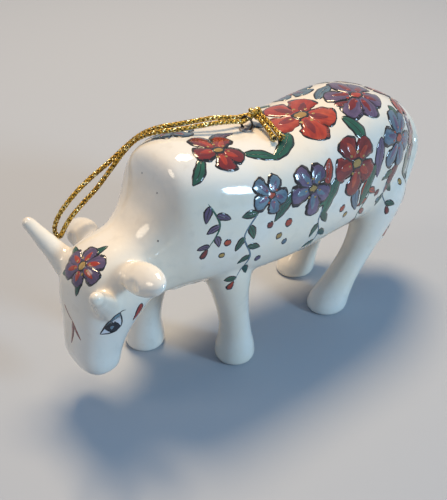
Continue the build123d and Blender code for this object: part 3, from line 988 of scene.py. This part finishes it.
def addBraid(parts, route, radius, look, fray=0.0):
    points, places = evenPoints(route, look["step"])
    side, lift = carriedFrames(points)
    strandRadius = radius * look["strandShare"]
    reach = radius - strandRadius
    splay = np.ones(len(places))
    if fray:
        splay = 1 + look["fraySplay"] * np.clip((places - places[-1] + fray) / fray, 0, 1) ** 2
    winding = 2 * math.pi * places / look["plait"]
    for hand in (1, -1):
        weave = 1 + look["weaveShare"] * hand * np.cos(look["strands"] * winding)
        out = (reach * weave * splay)[:, None]
        for strand in range(look["strands"]):
            turn = hand * winding + strand * 2 * math.pi / look["strands"]
            line = points + out * (side * np.cos(turn)[:, None] + lift * np.sin(turn)[:, None])
            addTube(parts, line, strandRadius, look["sides"])
    # a core tube under the strands, coloured with painted shade
    first = len(parts["faces"])
    addTube(parts, points, reach * look["coreShare"], look["coreSides"])
    parts["cores"].append((first, len(parts["faces"])))


goldLook = {
    "thread": (0.60, 0.37, 0.06),
    # painted shade between the strands, laid over the thread in blotches by the twist noise
    "shade": (0.14, 0.075, 0.014),
    # painted glints, placed by the sparks noise
    "glint": (1.0, 0.92, 0.52),
    # painted shade for the core
    "coreShade": (0.040, 0.022, 0.006),
    "twist": (3000.0, 0.36, 0.58),
    "sparks": (2000.0, 0.56, 0.61),
    "fibres": (2600.0, 0.40, 0.60),
    "metallic": 0.85,
    "dull": 0.45,
    "polish": 0.25,
    "coreRoughness": 0.8,
    "twistDepth": 0.03 * mm,
}


def goldMaterial(look):
    material, tree, shader = startMaterial("goldBraid", look["metallic"])
    # the twist noise lays painted shade over the thread in blotches, and also gives the bump
    twist = noiseMask(tree, *look["twist"])
    # the sparks noise places painted glints, which are also made less rough
    sparks = noiseMask(tree, *look["sparks"])
    colour = mixColours(tree, twist, look["shade"], look["thread"])
    tree.links.new(mixColours(tree, sparks, colour, look["glint"]), shader.inputs["Base Color"])
    polished = mathNode(tree, "MULTIPLY", sparks, look["polish"])
    tree.links.new(mathNode(tree, "SUBTRACT", look["dull"], polished), shader.inputs["Roughness"])
    addBump(tree, shader, twist, look["twistDepth"])
    return material


def coreShadeMaterial(look):
    # the core's dark colour is painted shade, which shows between the strands
    material, tree, shader = startMaterial("goldCoreShade", 0.0, look["coreRoughness"])
    fibres = noiseMask(tree, *look["fibres"])
    tree.links.new(mixColours(tree, fibres, look["coreShade"], look["shade"]), shader.inputs["Base Color"])
    return material


gold = goldMaterial(goldLook)
goldCoreShade = coreShadeMaterial(goldLook)


def makeKnot(parts, look):
    centre = np.array(look["knotCentre"]) * mm
    half = np.array(look["knotHalf"]) * mm
    turns = np.linspace(0, 2 * math.pi, look["knotPoints"])
    # an overhand knot's three lobes, squeezed into the egg that the knot fills
    lobes = np.stack([
        (np.sin(turns) + 2 * np.sin(2 * turns)) / 3,
        (np.cos(turns) - 2 * np.cos(2 * turns)) / 3,
        -np.sin(3 * turns) * look["knotDepth"],
    ], 1)
    for shift, share in look["knotTurns"]:
        route = centre + lobes * half * share + np.array([0.0, 0.0, shift])
        addBraid(parts, route, look["diameter"] / 2 * look["knotCord"], look)


def makeCord(look):
    radius = look["diameter"] / 2
    route = splinePoints(look["loop"], look)
    loopParts = emptyParts()
    addBraid(loopParts, route, radius, look)
    loop = newPiece("cordLoop", partsMesh("cordLoop", loopParts), "loop")
    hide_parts("cord_loop")

    knotParts = emptyParts()
    makeKnot(knotParts, look)
    for end in (look["loop"][0], look["loop"][-1]):
        addBraid(knotParts, np.array([end, look["knotCentre"]]) * mm, radius, look)
    knot = newPiece("cordKnot", partsMesh("cordKnot", knotParts), "cow")
    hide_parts("cord_knot", "cord_pass_eye", "cord_pass_side")

    endParts = emptyParts()
    for name in ("endA", "endB"):
        addBraid(endParts, splinePoints(look[name], look), radius, look, look["fray"])
    ends = newPiece("cordEnds", partsMesh("cordEnds", endParts), "cow")
    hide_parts("cord_end_a", "cord_end_b")

    print("cord made")


makeCord(cordLook)

# The hanging eye of dark wire and the cement that holds it keep their CAD shapes.
hangerLook = {
    "wireDark": (0.030, 0.025, 0.022),
    "wireWorn": (0.19, 0.16, 0.13),
    "wireMetallic": 0.9,
    "wireRoughness": 0.36,
    "cementPale": (0.42, 0.39, 0.36),
    "cementStained": (0.20, 0.15, 0.15),
    "cementRoughness": 0.78,
    "wear": (1300.0, 0.52, 0.70),
    "wearDepth": 0.01 * mm,
    "stains": (900.0, 0.40, 0.62),
    "grain": (2400.0, 0.35, 0.70),
    "grainDepth": 0.04 * mm,
}


def wireMaterial(look):
    material, tree, shader = startMaterial("oxidisedWire", look["wireMetallic"], look["wireRoughness"])
    worn = noiseMask(tree, *look["wear"])
    tree.links.new(mixColours(tree, worn, look["wireDark"], look["wireWorn"]), shader.inputs["Base Color"])
    addBump(tree, shader, worn, look["wearDepth"])
    return material


def cementMaterial(look):
    material, tree, shader = startMaterial("hangerCement", 0.0, look["cementRoughness"])
    stains = noiseMask(tree, *look["stains"])
    colour = mixColours(tree, stains, look["cementPale"], look["cementStained"])
    tree.links.new(colour, shader.inputs["Base Color"])
    addBump(tree, shader, noiseMask(tree, *look["grain"]), look["grainDepth"])
    return material


def dressHanger(look):
    for node, material in (("hanger_eye", wireMaterial(look)), ("eye_cement", cementMaterial(look))):
        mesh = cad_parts[node].data
        mesh.materials.clear()
        mesh.materials.append(material)


dressHanger(hangerLook)
print("hanger dressed")


# Floor, lamps and world.
studioLook = {
    "floor": (0.375, 0.395, 0.43),
    "floorRadius": 1.1,
    "floorSides": 128,
    "floorRoughness": 0.7,
    "sky": (0.36, 0.62, 1.0),
    "skyStrength": 0.42,
    "backdrop": (0.40, 0.41, 0.43),
    "lampAim": (0.0, 0.0, 20 * mm),
    "lamps": [
        ("keyLamp", (-0.11, -0.20, 0.52), (1.0, 0.77, 0.49), 0.19, 3.5),
        ("fillLamp", (-0.26, 0.52, 0.24), (0.50, 0.76, 1.0), 0.14, 2.3),
        ("rimLamp", (0.46, -0.16, 0.40), (1.0, 0.84, 0.64), 0.20, 0.5),
    ],
}


def makeStudio(look):
    mesh = bpy.data.meshes.new("floor")
    turns = [2 * math.pi * side / look["floorSides"] for side in range(look["floorSides"])]
    rim = [(look["floorRadius"] * math.cos(turn), look["floorRadius"] * math.sin(turn), 0) for turn in turns]
    mesh.from_pydata(rim, [], [tuple(range(look["floorSides"]))])
    floor = bpy.data.objects.new("floor", mesh)
    bpy.context.scene.collection.objects.link(floor)
    material, tree, shader = startMaterial("paleFloor", 0.0, look["floorRoughness"])
    shader.inputs["Base Color"].default_value = (*look["floor"], 1)
    mesh.materials.append(material)
    world = bpy.data.worlds.new("studio")
    bpy.context.scene.world = world
    world.use_nodes = True
    tree = world.node_tree
    sky = tree.nodes["Background"]
    sky.inputs["Color"].default_value = (*look["sky"], 1)
    sky.inputs["Strength"].default_value = look["skyStrength"]
    backdrop = tree.nodes.new("ShaderNodeBackground")
    backdrop.inputs["Color"].default_value = (*look["backdrop"], 1)
    rays = tree.nodes.new("ShaderNodeLightPath")
    seen = tree.nodes.new("ShaderNodeMixShader")
    mirrored = mathNode(tree, "MAXIMUM", rays.outputs["Is Glossy Ray"], rays.outputs["Is Transmission Ray"])
    tree.links.new(mathNode(tree, "MAXIMUM", rays.outputs["Is Camera Ray"], mirrored), seen.inputs[0])
    tree.links.new(sky.outputs[0], seen.inputs[1])
    tree.links.new(backdrop.outputs[0], seen.inputs[2])
    tree.links.new(seen.outputs[0], tree.nodes["World Output"].inputs["Surface"])
    for name, place, colour, size, power in look["lamps"]:
        lamp = bpy.data.lights.new(name, "AREA")
        lamp.shape = "DISK"
        lamp.size = size
        lamp.energy = power
        lamp.color = colour
        holder = bpy.data.objects.new(name, lamp)
        holder.location = place
        aim = Vector(look["lampAim"]) - Vector(place)
        holder.rotation_euler = aim.to_track_quat("-Z", "Y").to_euler()
        bpy.context.scene.collection.objects.link(holder)
    bpy.context.scene.view_settings.view_transform = "Standard"
    print("studio lit")


makeStudio(studioLook)
